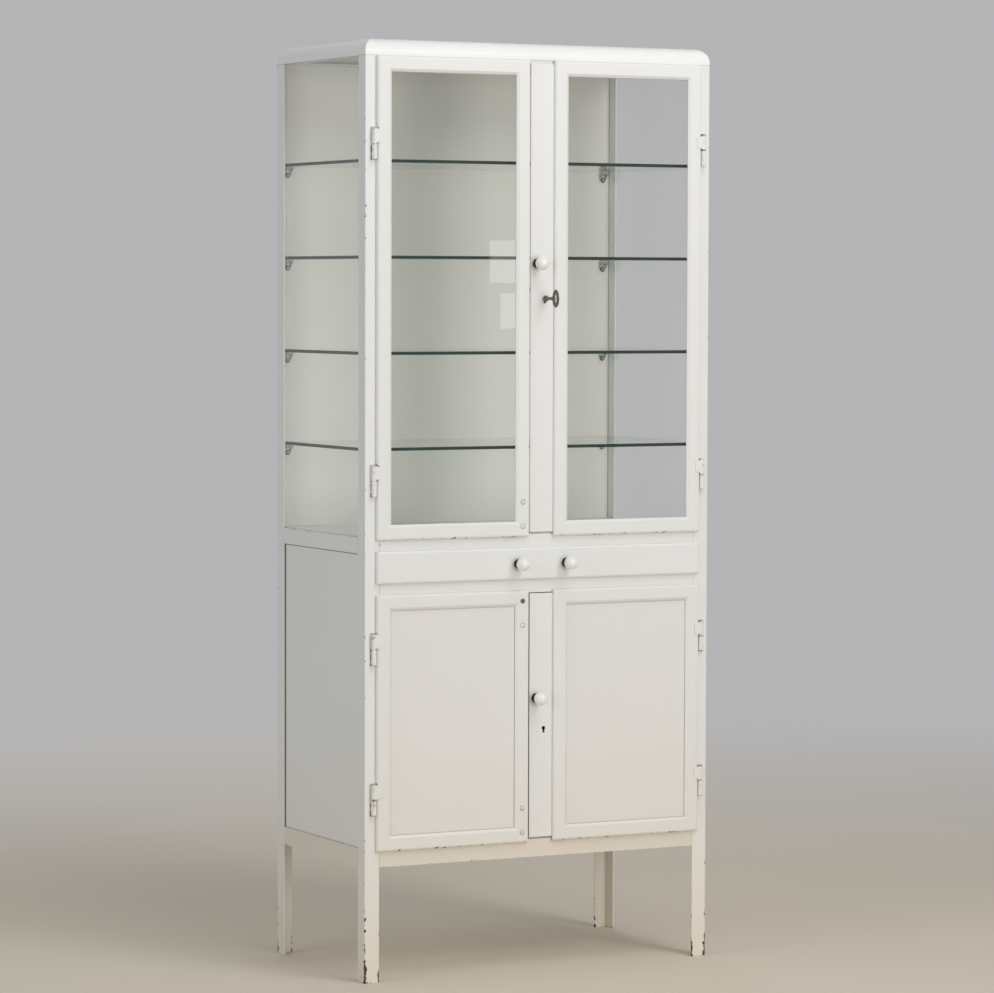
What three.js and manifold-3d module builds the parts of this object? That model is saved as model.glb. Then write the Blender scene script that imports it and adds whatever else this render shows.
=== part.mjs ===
// Clinic cabinet of white enamelled steel: an angle iron frame on four legs, a glazed upper
// compartment with glass shelves, one wide drawer and a steel lower cupboard.
// Millimetres, +Z up, front towards -Y. The origin is on the floor, at the centre of the footprint.
import * as THREE from 'three';
import { mergeVertices } from 'three/addons/utils/BufferGeometryUtils.js';
import Module from 'manifold-3d';

// Body, measured over the outer faces of the four uprights
const WIDTH = 730;
const DEPTH = 395;
const HEIGHT = 1750;
const SEAT_GAP = 0.3;

// Angle iron of the uprights and rails
const ANGLE_LEG = 30;
const ANGLE_WALL = 3;
const BASE_RAIL_HEIGHT = 34;

// Top edges of the rails above the floor
const BASE_RAIL_TOP = 250;
const LOWER_RAIL_TOP = 748;
const DRAWER_BAY = 81;
const UPPER_RAIL_TOP = LOWER_RAIL_TOP + DRAWER_BAY;

// Lid with rolled edges
const LID_ROLL = 25;
const LID_SKIRT = 6;
const LID_WALL = 1.5;
const LID_STEPS = 8;

// Sheet steel and glass
const SHEET = 1.5;
const PANE = 3;
const SHELF_GLASS = 6;
const SHELF_COUNT = 4;
const SHELF_DROP = 12;
const SHELF_SIDE_GAP = 4;
const SHELF_FRONT_SETBACK = 17;
const SHELF_REAR_GAP = 3;

// Strips with lugs that carry the shelves
const STRIP_WALL = 1.5;
const STRIP_WIDTH = 15;
const STRIP_INSET = 13;
const LUG_BEARING = 9;
const LUG_WALL = 2;

// Doors and drawer front, which lie on the front of the frame
const DOOR_THICKNESS = 8.5;
const DOOR_GAP = 0.5;
const DOOR_MARGIN = 21.5;
const DOOR_STILE = 29;
const DOOR_EDGE_ROUND = 5;
const DOOR_ROUND_STEPS = 4;
const BEVEL_WIDTH = 5;
const BEVEL_DEPTH = 3;
const LIP_EDGE = 1.5;
const REBATE_WIDTH = 8;
const RAIL_OVERLAP = 5;
const MEETING_GAP = 52;

// Lock stile of each right door
const LOCK_STILE_WALL = 2;
const LOCK_STILE_LAP = 8;
const LOCK_STILE_CLEARANCE = 3.5;
const LOCK_STILE_DROP = 6.5;
const LOCK_STILE_RISE = 8.5;

// Lift-off hinges. The lower one rises from the door's bottom edge, the upper one drops from its top.
const KNUCKLE_RADIUS = 5;
const KNUCKLE_LENGTH = 30;
const KNUCKLE_CAP = 3;
const PIN_RADIUS = 2.5;
const PIN_CLEARANCE = 0.3;
const HINGE_EDGE_GAP = 0.6;
const LEAF_WALL = 2;
const LEAF_WIDTH = 5.5;
const WING_WALL = 1.5;
const WING_REACH = 11;
const WING_TIP = 18;
const UPPER_HINGE_RISE = 111;
const UPPER_HINGE_DROP = 162;
const LOWER_HINGE_RISE = 98;
const LOWER_HINGE_DROP = 100;

// Ball knobs
const KNOB_RADIUS = 13;
const KNOB_STANDOFF = 22;
const KNOB_NECK = 6;
const KNOB_COLLAR = 7.5;
const KNOB_COLLAR_LENGTH = 4;
const SHANK_RADIUS = 2;
const NUT_RADIUS = 4.5;
const NUT_LENGTH = 4;
const KNOB_HOLE_RADIUS = SHANK_RADIUS + SEAT_GAP;
const DOOR_KNOB_X = -9.5;
const UPPER_KNOB_RISE = 514;
const LOWER_KNOB_RISE = 273;
const DRAWER_KNOB_X = 51;

// Rim locks and the key, which drop below the knobs
const KEY_X = 8;
const UPPER_KEY_DROP = 66;
const LOWER_KEY_DROP = 58;
const KEY_SHAFT = 3;
const KEY_COLLAR = 6;
const KEY_COLLAR_LENGTH = 5;
const KEY_COLLAR_STANDOFF = 2;
const KEY_REACH = 36;
const BOW_HEIGHT = 34;
const BOW_DEPTH = 24;
const BOW_WIRE = 3.2;
const BIT_DROP = 8;
const BIT_WALL = 2.4;
const KEYWAY_CLEARANCE = 0.9;
const LOCK_WIDTH = 44;
const LOCK_HEIGHT = 50;
const LOCK_DEPTH = 12;
const LOCK_POCKET_CLEARANCE = 1.5;
const LOCK_BOLT_HEIGHT = 8;
const LOCK_BOLT_WALL = 4;
const LOCK_BOLT_LENGTH = 34;
const LOCK_BOLT_RISE = 16;
const LOCK_BOLT_SETBACK = 1;

// Slide bolts inside the left doors
const SLIDE_BOLT_RADIUS = 3;
const SLIDE_BOLT_DEPTH = 7.5;
const SLIDE_BOLT_TIP = 8;
const LOOP_WIDTH = 12;
const LOOP_HEIGHT = 8;
const LOOP_INSET = 20;
const LOOP_SPACING = 46;
const LOOP_WALL = 2;
const BOLT_TAIL = 12;
const THUMB_RADIUS = 2.5;
const THUMB_LENGTH = 12;
const BOLT_HOLE_CLEARANCE = 1;

// Drawer
const TRAY_SIDE_GAP = 4;
const TRAY_DEPTH = 345;
const TRAY_TOP_GAP = 3;
const RUNNER_LEG = 40;
const RUNNER_UPSTAND = 30;

const ROUND_STEPS = 16;
const BALL_STEPS = 8;

// Planes and levels that follow from the sizes above
const sideX = WIDTH / 2;
const frontY = -DEPTH / 2;
const rearY = DEPTH / 2;
const seat = ANGLE_WALL + SEAT_GAP;
const lidBase = HEIGHT - LID_ROLL - LID_SKIRT;
const uprightTop = lidBase - SEAT_GAP;
const betweenUpright = ANGLE_LEG + SEAT_GAP;
const panelX = sideX - seat;
const panelFrontY = frontY + seat;
const backInnerY = rearY - seat - SHEET;
const panelRearY = backInnerY - SEAT_GAP;
const doorBackY = frontY - DOOR_GAP;
const doorHalf = sideX - DOOR_MARGIN;
const hingeX = doorHalf + HINGE_EDGE_GAP + KNUCKLE_RADIUS;
const hingeY = doorBackY - KNUCKLE_RADIUS;
const slideBoltX = -MEETING_GAP / 2 - DOOR_STILE / 2;
const slideBoltY = doorBackY + SLIDE_BOLT_DEPTH;
const boltHoleRadius = SLIDE_BOLT_RADIUS + BOLT_HOLE_CLEARANCE;
const lockStileLeft = -MEETING_GAP / 2 + LOCK_STILE_CLEARANCE;
const lockStileRight = MEETING_GAP / 2 + LOCK_STILE_LAP - SEAT_GAP;
const lockBoltTip = lockStileLeft + LOCK_BOLT_SETBACK;

const enamel = new THREE.MeshStandardMaterial({ color: 0xe4e0d2, roughness: 0.35, metalness: 0 });
const panelEnamel = new THREE.MeshStandardMaterial({ color: 0xd6d2c2, roughness: 0.4, metalness: 0 });
const clearGlass = new THREE.MeshStandardMaterial({
  color: 0xd3e4dc, roughness: 0.05, metalness: 0, transparent: true, opacity: 0.3,
});
const shelfGlass = new THREE.MeshStandardMaterial({
  color: 0x4f7f6c, roughness: 0.05, metalness: 0, transparent: true, opacity: 0.4,
});
const porcelain = new THREE.MeshStandardMaterial({ color: 0xf0eee6, roughness: 0.15, metalness: 0 });
const steel = new THREE.MeshStandardMaterial({ color: 0x8d8b86, roughness: 0.4, metalness: 0.9 });
const iron = new THREE.MeshStandardMaterial({ color: 0x4a4743, roughness: 0.55, metalness: 0.8 });

const wasm = await Module();
wasm.setup();

// Six times the signed volume, negative where the faces point inwards
function signedVolume(geometry) {
  const corner = [new THREE.Vector3(), new THREE.Vector3(), new THREE.Vector3()];
  let sum = 0;
  for (let i = 0; i < geometry.index.count; i += 3) {
    for (let k = 0; k < 3; k += 1) {
      corner[k].fromBufferAttribute(geometry.attributes.position, geometry.index.getX(i + k));
    }
    sum += corner[0].dot(corner[1].clone().cross(corner[2]));
  }
  return sum;
}

// A closed surface with shared vertices and its faces pointing out
function closed(geometry) {
  geometry.deleteAttribute('normal');
  geometry.deleteAttribute('uv');
  const merged = mergeVertices(geometry);
  if (signedVolume(merged) < 0) {
    merged.index.array.reverse();
  }
  return merged;
}

function solid(geometry) {
  const surface = closed(geometry);
  return new wasm.Manifold(new wasm.Mesh({
    numProp: 3,
    vertProperties: new Float32Array(surface.attributes.position.array),
    triVerts: new Uint32Array(surface.index.array),
  }));
}

function surface(manifold) {
  const mesh = manifold.getMesh();
  const geometry = new THREE.BufferGeometry();
  geometry.setAttribute('position', new THREE.BufferAttribute(mesh.vertProperties, 3));
  geometry.setIndex(new THREE.BufferAttribute(mesh.triVerts, 1));
  return geometry;
}

function join(first, ...others) {
  return surface(others.reduce((sum, other) => sum.add(solid(other)), solid(first)));
}

function cut(first, ...tools) {
  return surface(tools.reduce((rest, tool) => rest.subtract(solid(tool)), solid(first)));
}

// Box between two opposite corners, given in any order
function block(a, b) {
  const size = a.map((value, i) => Math.abs(b[i] - value));
  const middle = a.map((value, i) => (value + b[i]) / 2);
  return new THREE.BoxGeometry(...size).translate(...middle);
}

// Straight bar with a drawn section. The section's axes are x, y for a bar along z, y, z for one
// along x, and x, z for one along y.
function bar(section, along, from, to) {
  const swapped = along === 'y';
  const points = section.map(([a, b]) => (swapped ? new THREE.Vector2(b, a) : new THREE.Vector2(a, b)));
  const shape = new THREE.Shape(points);
  const geometry = new THREE.ExtrudeGeometry(shape, { depth: to - from, bevelEnabled: false });
  geometry.translate(0, 0, from);
  const X = new THREE.Vector3(1, 0, 0);
  const Y = new THREE.Vector3(0, 1, 0);
  const Z = new THREE.Vector3(0, 0, 1);
  const turns = { x: [Y, Z, X], y: [Z, X, Y], z: [X, Y, Z] };
  return geometry.applyMatrix4(new THREE.Matrix4().makeBasis(...turns[along]));
}

// Section of angle iron from its outer corner, with the signs that its two flanges run in
function angle(a, b, signA, signB, legA = ANGLE_LEG, legB = ANGLE_LEG, wall = ANGLE_WALL) {
  return [
    [a, b],
    [a + signA * legA, b],
    [a + signA * legA, b + signB * wall],
    [a + signA * wall, b + signB * wall],
    [a + signA * wall, b + signB * legB],
    [a, b + signB * legB],
  ];
}

// Skin over rectangles drawn in order, each inset from an outer rectangle and raised to a level.
// It is capped at both ends, or joined into a ring where the last rectangle meets the first.
function rectangleLoft(width, height, profile, ring) {
  const positions = [];
  const index = [];
  for (const [inset, level] of profile) {
    const a = width / 2 - inset;
    const b = height / 2 - inset;
    positions.push(-a, -b, level, a, -b, level, a, b, level, -a, b, level);
  }
  const spans = ring ? profile.length : profile.length - 1;
  for (let i = 0; i < spans; i += 1) {
    const low = 4 * i;
    const high = 4 * ((i + 1) % profile.length);
    for (let k = 0; k < 4; k += 1) {
      const next = (k + 1) % 4;
      index.push(low + k, low + next, high + next, low + k, high + next, high + k);
    }
  }
  if (!ring) {
    const last = 4 * spans;
    index.push(0, 2, 1, 0, 3, 2, last, last + 1, last + 2, last, last + 2, last + 3);
  }
  const geometry = new THREE.BufferGeometry();
  geometry.setAttribute('position', new THREE.Float32BufferAttribute(positions, 3));
  geometry.setIndex(index);
  return geometry;
}

// Turns a piece drawn flat, x across, y up and z towards the viewer, to stand facing the front
function facing(geometry) {
  const across = new THREE.Vector3(1, 0, 0);
  const up = new THREE.Vector3(0, 0, 1);
  const forward = new THREE.Vector3(0, -1, 0);
  return geometry.applyMatrix4(new THREE.Matrix4().makeBasis(across, up, forward));
}

// Turned piece round the z axis, from radius and height pairs
function turned(profile, steps = ROUND_STEPS) {
  const points = profile.map(([radius, height]) => new THREE.Vector2(radius, height));
  return new THREE.LatheGeometry(points, steps).rotateX(Math.PI / 2);
}

function rod(radius, from, to, steps = ROUND_STEPS) {
  return turned([[0, from], [radius, from], [radius, to], [0, to]], steps);
}

function arc(radius, start, end, steps) {
  const points = [];
  for (let i = 0; i <= steps; i += 1) {
    const turn = start + ((end - start) * i) / steps;
    points.push([radius * Math.cos(turn), radius * Math.sin(turn)]);
  }
  return points;
}

function add(group, name, geometry, material) {
  const mesh = new THREE.Mesh(closed(geometry), material);
  mesh.name = name;
  group.add(mesh);
}

const cabinet = new THREE.Group();

// Uprights: four lengths of angle iron that end below the lid and stand on the floor
for (const [side, sideName] of [[-1, 'left'], [1, 'right']]) {
  for (const [end, endName] of [[-1, 'front'], [1, 'rear']]) {
    const section = angle(side * sideX, (end * DEPTH) / 2, -side, -end);
    add(cabinet, `${endName}_${sideName}_upright`, bar(section, 'z', 0, uprightTop), enamel);
  }
}

// Hole through a floor and the rail below it for a slide bolt
function boltHole(level) {
  const reach = ANGLE_LEG;
  return rod(boltHoleRadius, level - reach, level + reach).translate(slideBoltX, slideBoltY, 0);
}

// Base frame: four rails between the uprights, welded to a flat ring inside them
const baseRing = rectangleLoft(WIDTH, DEPTH, [
  [seat, BASE_RAIL_TOP - ANGLE_WALL],
  [seat, BASE_RAIL_TOP],
  [ANGLE_LEG, BASE_RAIL_TOP],
  [ANGLE_LEG, BASE_RAIL_TOP - ANGLE_WALL],
], true);
const crossEnd = sideX - betweenUpright;
const lengthEnd = rearY - betweenUpright;
const baseRails = [];
for (const sign of [-1, 1]) {
  const cross = angle(sign * rearY, BASE_RAIL_TOP, -sign, -1, ANGLE_LEG, BASE_RAIL_HEIGHT);
  const length = angle(sign * sideX, BASE_RAIL_TOP, -sign, -1, ANGLE_LEG, BASE_RAIL_HEIGHT);
  baseRails.push(bar(cross, 'x', -crossEnd, crossEnd), bar(length, 'y', -lengthEnd, lengthEnd));
}
add(cabinet, 'base_frame', cut(join(baseRing, ...baseRails), boltHole(BASE_RAIL_TOP)), enamel);

// Front rails above and below the drawer, and side rails under the glass
function frontRail(top) {
  return bar(angle(frontY, top, 1, -1), 'x', -crossEnd, crossEnd);
}
add(cabinet, 'front_upper_rail', cut(frontRail(UPPER_RAIL_TOP), boltHole(UPPER_RAIL_TOP)), enamel);
add(cabinet, 'front_lower_rail', frontRail(LOWER_RAIL_TOP), enamel);
for (const [side, sideName] of [[-1, 'left'], [1, 'right']]) {
  const section = angle(side * sideX, UPPER_RAIL_TOP, -side, -1);
  add(cabinet, `${sideName}_middle_rail`, bar(section, 'y', -lengthEnd, lengthEnd), enamel);
}

// Top frame: a flat ring on the uprights with a front flange that the upper doors close on
const lidSeat = LID_WALL + SEAT_GAP;
const topRing = rectangleLoft(WIDTH, DEPTH, [
  [lidSeat, lidBase],
  [lidSeat, lidBase + ANGLE_WALL],
  [ANGLE_LEG, lidBase + ANGLE_WALL],
  [ANGLE_LEG, lidBase],
], true);
const doorStop = block(
  [-crossEnd, frontY + lidSeat, lidBase - ANGLE_LEG],
  [crossEnd, frontY + lidSeat + ANGLE_WALL, lidBase + ANGLE_WALL],
);
add(cabinet, 'top_frame', join(topRing, doorStop), enamel);

// Lid: one sheet with a short skirt and rolled edges, open below, mitred at the corners
function rolled(radius, wall) {
  const roll = arc(radius, 0, Math.PI / 2, LID_STEPS);
  const curve = roll.map(([across, up]) => [wall + radius - across, lidBase + LID_SKIRT + up]);
  return [[wall, lidBase], ...curve];
}
const lidInside = rolled(LID_ROLL - LID_WALL, LID_WALL).reverse();
const lidOutside = rolled(LID_ROLL, 0);
add(cabinet, 'top_cover', rectangleLoft(WIDTH, DEPTH, [...lidInside, ...lidOutside], false), enamel);

// Back panel inside the rear uprights, from the base frame to the top frame
const baseSeat = BASE_RAIL_TOP + SEAT_GAP;
const displaySeat = UPPER_RAIL_TOP + SEAT_GAP;
add(cabinet, 'back_panel', block(
  [-panelX, backInnerY, baseSeat],
  [panelX, backInnerY + SHEET, uprightTop],
), panelEnamel);

// Sides: a steel sheet below and a glass pane above, both inside the uprights' flanges
for (const [side, sideName] of [[-1, 'left'], [1, 'right']]) {
  add(cabinet, `${sideName}_lower_panel`, block(
    [side * panelX, panelFrontY, baseSeat],
    [side * (panelX - SHEET), panelRearY, UPPER_RAIL_TOP - seat],
  ), panelEnamel);
  add(cabinet, `${sideName}_side_glass`, block(
    [side * panelX, panelFrontY, displaySeat],
    [side * (panelX - PANE), panelRearY, uprightTop],
  ), clearGlass);
}

// Floors of the lower cupboard and of the glazed compartment
const cupboardHalf = panelX - SHEET - SEAT_GAP;
const cupboardFloor = block(
  [-cupboardHalf, panelFrontY, baseSeat],
  [cupboardHalf, panelRearY, baseSeat + SHEET],
);
add(cabinet, 'cupboard_floor', cut(cupboardFloor, boltHole(baseSeat)), panelEnamel);
const displayHalf = panelX - PANE - SEAT_GAP;
const displayFloor = block(
  [-displayHalf, panelFrontY, displaySeat],
  [displayHalf, panelRearY, displaySeat + SHEET],
);
add(cabinet, 'display_floor', cut(displayFloor, boltHole(displaySeat)), panelEnamel);

// Glass shelves, evenly spaced in the glazed compartment
const shelfPitch = (lidBase - UPPER_RAIL_TOP) / (SHELF_COUNT + 1);
const shelfHalf = panelX - PANE - SHELF_SIDE_GAP;
const shelfFrontY = panelFrontY + SHELF_FRONT_SETBACK;
const shelfRearY = panelRearY - STRIP_WALL - SHELF_REAR_GAP;
const shelfLevels = [];
for (let i = 1; i <= SHELF_COUNT; i += 1) {
  const level = UPPER_RAIL_TOP + i * shelfPitch - SHELF_DROP;
  shelfLevels.push(level);
  add(cabinet, `glass_shelf_${i}`, block(
    [-shelfHalf, shelfFrontY, level - SHELF_GLASS],
    [shelfHalf, shelfRearY, level],
  ), shelfGlass);
}

// Lugged strips: the front pair behind the uprights' flanges, the rear pair on the back panel
function luggedStrip(side, seatY, inward, shelfEdgeY) {
  const outerX = side * (sideX - STRIP_INSET);
  const innerX = side * (sideX - STRIP_INSET - STRIP_WIDTH);
  const strip = block(
    [outerX, seatY, displaySeat + SHEET + SEAT_GAP],
    [innerX, seatY + inward * STRIP_WALL, uprightTop],
  );
  const lugs = shelfLevels.map((level) => {
    const top = level - SHELF_GLASS - SEAT_GAP;
    return block([outerX, seatY, top - LUG_WALL], [innerX, shelfEdgeY + inward * LUG_BEARING, top]);
  });
  return join(strip, ...lugs);
}
for (const [side, sideName] of [[-1, 'left'], [1, 'right']]) {
  add(cabinet, `front_${sideName}_shelf_strip`, luggedStrip(side, panelFrontY, 1, shelfFrontY), iron);
  add(cabinet, `rear_${sideName}_shelf_strip`, luggedStrip(side, panelRearY, -1, shelfRearY), iron);
}

// Lower half of a lift-off hinge: knuckle, pin and the leaf welded to the upright
function lowerHinge(side) {
  const pinTop = KNUCKLE_LENGTH - KNUCKLE_CAP - SEAT_GAP;
  const knuckle = turned([
    [0, -KNUCKLE_LENGTH],
    [KNUCKLE_RADIUS, -KNUCKLE_LENGTH],
    [KNUCKLE_RADIUS, -SEAT_GAP],
    [PIN_RADIUS, -SEAT_GAP],
    [PIN_RADIUS, pinTop],
    [0, pinTop],
  ]);
  const leafBack = frontY - SEAT_GAP - hingeY;
  const leaf = block([0, leafBack - LEAF_WALL, -KNUCKLE_LENGTH], [side * LEAF_WIDTH, leafBack, -SEAT_GAP]);
  return join(knuckle, leaf);
}

// Upper half of the hinge: a blind knuckle and a tapered wing welded to the face of the door
function upperHinge(side) {
  const bore = PIN_RADIUS + PIN_CLEARANCE;
  const knuckle = turned([
    [0, KNUCKLE_LENGTH - KNUCKLE_CAP],
    [bore, KNUCKLE_LENGTH - KNUCKLE_CAP],
    [bore, 0],
    [KNUCKLE_RADIUS, 0],
    [KNUCKLE_RADIUS, KNUCKLE_LENGTH],
    [0, KNUCKLE_LENGTH],
  ]);
  const faceY = doorBackY - DOOR_THICKNESS - hingeY;
  const middle = KNUCKLE_LENGTH / 2;
  const reach = -side * (HINGE_EDGE_GAP + KNUCKLE_RADIUS + WING_REACH);
  const outline = [
    [0, 0],
    [reach, middle - WING_TIP / 2],
    [reach, middle + WING_TIP / 2],
    [0, KNUCKLE_LENGTH],
  ];
  const wing = bar(outline, 'y', faceY - WING_WALL, faceY + WING_WALL);
  const clear = rod(bore, -KNUCKLE_LENGTH, KNUCKLE_LENGTH - KNUCKLE_CAP);
  return join(knuckle, cut(wing, clear));
}

// Frame of a door: a mitred ring with a rounded outer edge, a bevelled lip and a glazing rebate
const rebateDepth = DOOR_THICKNESS - BEVEL_DEPTH - LIP_EDGE;
function doorRing(width, height) {
  const roundStart = DOOR_EDGE_ROUND;
  const round = arc(DOOR_EDGE_ROUND, 0, Math.PI / 2, DOOR_ROUND_STEPS).map(([across, up]) => [
    roundStart - across,
    DOOR_THICKNESS - DOOR_EDGE_ROUND + up,
  ]);
  return rectangleLoft(width, height, [
    [0, 0],
    ...round,
    [DOOR_STILE - BEVEL_WIDTH, DOOR_THICKNESS],
    [DOOR_STILE, DOOR_THICKNESS - BEVEL_DEPTH],
    [DOOR_STILE, rebateDepth],
    [DOOR_STILE - REBATE_WIDTH, rebateDepth],
    [DOOR_STILE - REBATE_WIDTH, 0],
  ], true);
}

// Ball knob on a collar. Its shank goes through a plate and a nut holds it behind. The profile
// runs from the nut, with height 0 at the plate's front face.
function knob(plate) {
  const neckTurn = Math.asin(KNOB_NECK / KNOB_RADIUS) - Math.PI / 2;
  const ball = arc(KNOB_RADIUS, neckTurn, Math.PI / 2, BALL_STEPS).map(([across, up]) => [
    across,
    KNOB_STANDOFF + up,
  ]);
  ball[BALL_STEPS] = [0, KNOB_STANDOFF + KNOB_RADIUS];
  const nutFront = -plate - SEAT_GAP;
  return facing(turned([
    [0, nutFront - NUT_LENGTH],
    [NUT_RADIUS, nutFront - NUT_LENGTH],
    [NUT_RADIUS, nutFront],
    [SHANK_RADIUS, nutFront],
    [SHANK_RADIUS, SEAT_GAP],
    [KNOB_COLLAR, SEAT_GAP],
    [KNOB_COLLAR, KNOB_COLLAR_LENGTH],
    [KNOB_NECK, KNOB_COLLAR_LENGTH],
    ...ball,
  ]));
}

// Loop on the back of a left door that guides a slide bolt, with the bolt's axis at the origin
function boltLoop(middle) {
  const half = LOOP_HEIGHT / 2;
  const loop = block(
    [-LOOP_WIDTH / 2, -SLIDE_BOLT_DEPTH, middle - half],
    [LOOP_WIDTH / 2, SLIDE_BOLT_RADIUS + SEAT_GAP + LOOP_WALL, middle + half],
  );
  return cut(loop, rod(SLIDE_BOLT_RADIUS + SEAT_GAP, middle - LOOP_HEIGHT, middle + LOOP_HEIGHT));
}

// Slide bolt with a thumb pin between its two loops, drawn from the door's edge inwards
function slideBolt(up) {
  const tip = up * SLIDE_BOLT_TIP;
  const tail = up * (LOOP_INSET + LOOP_SPACING + BOLT_TAIL);
  const stem = rod(SLIDE_BOLT_RADIUS, Math.min(tip, tail), Math.max(tip, tail));
  const thumb = rod(THUMB_RADIUS, 0, THUMB_LENGTH).rotateX(-Math.PI / 2);
  return join(stem, thumb.translate(0, 0, up * (LOOP_INSET + LOOP_SPACING / 2)));
}

// Keyhole through the lock stile: a round hole over a slot for the bit
function keyhole() {
  const hole = rod(KEY_SHAFT + KEYWAY_CLEARANCE, -LOCK_DEPTH, LOCK_DEPTH);
  const slotHalf = BIT_WALL / 2 + KEYWAY_CLEARANCE;
  const slot = block([-slotHalf, -BIT_DROP - KEYWAY_CLEARANCE, -LOCK_DEPTH], [slotHalf, 0, LOCK_DEPTH]);
  return join(hole, slot);
}

// Case of a rim lock with a round pocket for the bit and a slot for the bolt, front face at z 0
function lockCase() {
  const halfWidth = LOCK_WIDTH / 2;
  const halfHeight = LOCK_HEIGHT / 2;
  const body = block([-halfWidth, -halfHeight, -LOCK_DEPTH], [halfWidth, halfHeight, 0]);
  const pocketFloor = LOCK_STILE_WALL + SEAT_GAP - LOCK_DEPTH;
  const pocket = rod(BIT_DROP + LOCK_POCKET_CLEARANCE, pocketFloor, LOCK_DEPTH);
  const half = LOCK_BOLT_HEIGHT / 2 + SEAT_GAP;
  const wall = LOCK_BOLT_WALL / 2 + SEAT_GAP;
  const slotEnd = lockBoltTip - KEY_X + LOCK_BOLT_LENGTH + SEAT_GAP;
  const slot = block(
    [-LOCK_WIDTH, LOCK_BOLT_RISE - half, -LOCK_DEPTH / 2 - wall],
    [slotEnd, LOCK_BOLT_RISE + half, -LOCK_DEPTH / 2 + wall],
  );
  return cut(body, pocket, slot);
}

// Key with an oval bow, its shaft along z and its bit hanging down, stile face at z 0
function key() {
  const tip = SEAT_GAP * 2 + LOCK_STILE_WALL - LOCK_DEPTH + LOCK_POCKET_CLEARANCE;
  const shaft = rod(KEY_SHAFT, tip, KEY_REACH);
  const collar = rod(KEY_COLLAR, KEY_COLLAR_STANDOFF, KEY_COLLAR_STANDOFF + KEY_COLLAR_LENGTH);
  const bitFront = -LOCK_STILE_WALL - KEYWAY_CLEARANCE;
  const bit = block([-BIT_WALL / 2, -BIT_DROP, tip], [BIT_WALL / 2, 0, bitFront]);
  const ringHeight = BOW_HEIGHT / 2 - BOW_WIRE;
  const ringDepth = BOW_DEPTH / 2 - BOW_WIRE;
  const bow = new THREE.TorusGeometry(ringHeight, BOW_WIRE, 8, 24).rotateY(Math.PI / 2);
  bow.scale(1, 1, ringDepth / ringHeight).translate(0, 0, KEY_REACH + ringDepth);
  return join(shaft, collar, bit, bow);
}

// Doors: each is drawn from its own hinge axis and the level of its bottom edge
const doorWidth = doorHalf - MEETING_GAP / 2;
const upperDoor = {
  level: 'upper',
  bottom: UPPER_RAIL_TOP - RAIL_OVERLAP,
  top: uprightTop,
  hingeRise: UPPER_HINGE_RISE,
  hingeDrop: UPPER_HINGE_DROP,
  filling: 'glass',
  thickness: PANE,
  material: clearGlass,
  knobRise: UPPER_KNOB_RISE,
  keyRise: UPPER_KNOB_RISE - UPPER_KEY_DROP,
};
const lowerDoor = {
  level: 'lower',
  bottom: BASE_RAIL_TOP - RAIL_OVERLAP,
  top: LOWER_RAIL_TOP - ANGLE_LEG + RAIL_OVERLAP,
  hingeRise: LOWER_HINGE_RISE,
  hingeDrop: LOWER_HINGE_DROP,
  filling: 'panel',
  thickness: SHEET,
  material: panelEnamel,
  knobRise: LOWER_KNOB_RISE,
  keyRise: LOWER_KNOB_RISE - LOWER_KEY_DROP,
};

// Both doors of a pair hang alike: frame, filling and hinges, with extras joined or cut on
function hangDoor(door, side, joined, removed) {
  const sideName = side < 0 ? 'left' : 'right';
  const name = `${door.level}_${sideName}`;
  const height = door.top - door.bottom;
  const group = new THREE.Group();
  group.position.set(side * hingeX, hingeY, door.bottom);
  cabinet.add(group);

  const middle = [side * (doorHalf - doorWidth / 2 - hingeX), doorBackY - hingeY, height / 2];
  const ring = facing(doorRing(doorWidth, height)).translate(...middle);
  const hingeRises = [door.hingeRise, height - door.hingeDrop];
  const hinges = hingeRises.map((rise) => upperHinge(side).translate(0, 0, rise));
  const frame = join(ring, ...hinges, ...joined);
  add(group, `${name}_door_frame`, removed.length ? cut(frame, ...removed) : frame, enamel);

  const halfWidth = doorWidth / 2 - DOOR_STILE + REBATE_WIDTH - SEAT_GAP;
  const halfHeight = height / 2 - DOOR_STILE + REBATE_WIDTH - SEAT_GAP;
  const front = rebateDepth - SEAT_GAP;
  const filling = block([-halfWidth, -halfHeight, front - door.thickness], [halfWidth, halfHeight, front]);
  add(group, `${name}_door_${door.filling}`, facing(filling).translate(...middle), door.material);

  const ends = ['bottom', 'top'];
  hingeRises.forEach((rise, i) => {
    const hinge = lowerHinge(side).translate(side * hingeX, hingeY, door.bottom + rise);
    add(cabinet, `${name}_${ends[i]}_hinge_pin`, hinge, iron);
  });
  return group;
}

// Left doors, held shut by slide bolts behind their meeting stiles
function leftDoor(door, boltEnds) {
  const place = [slideBoltX + hingeX, slideBoltY - hingeY];
  const height = door.top - door.bottom;
  const levels = { bottom: [0, 1], top: [height, -1] };
  const loops = boltEnds.flatMap((end) => [LOOP_INSET, LOOP_INSET + LOOP_SPACING].map((inset) => {
    const [edge, up] = levels[end];
    return boltLoop(edge + up * inset).translate(...place, 0);
  }));
  const group = hangDoor(door, -1, loops, []);
  for (const end of boltEnds) {
    const [edge, up] = levels[end];
    add(group, `${door.level}_left_${end}_bolt`, slideBolt(up).translate(...place, edge), steel);
  }
}
leftDoor(upperDoor, ['bottom']);
leftDoor(lowerDoor, ['bottom', 'top']);

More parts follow.
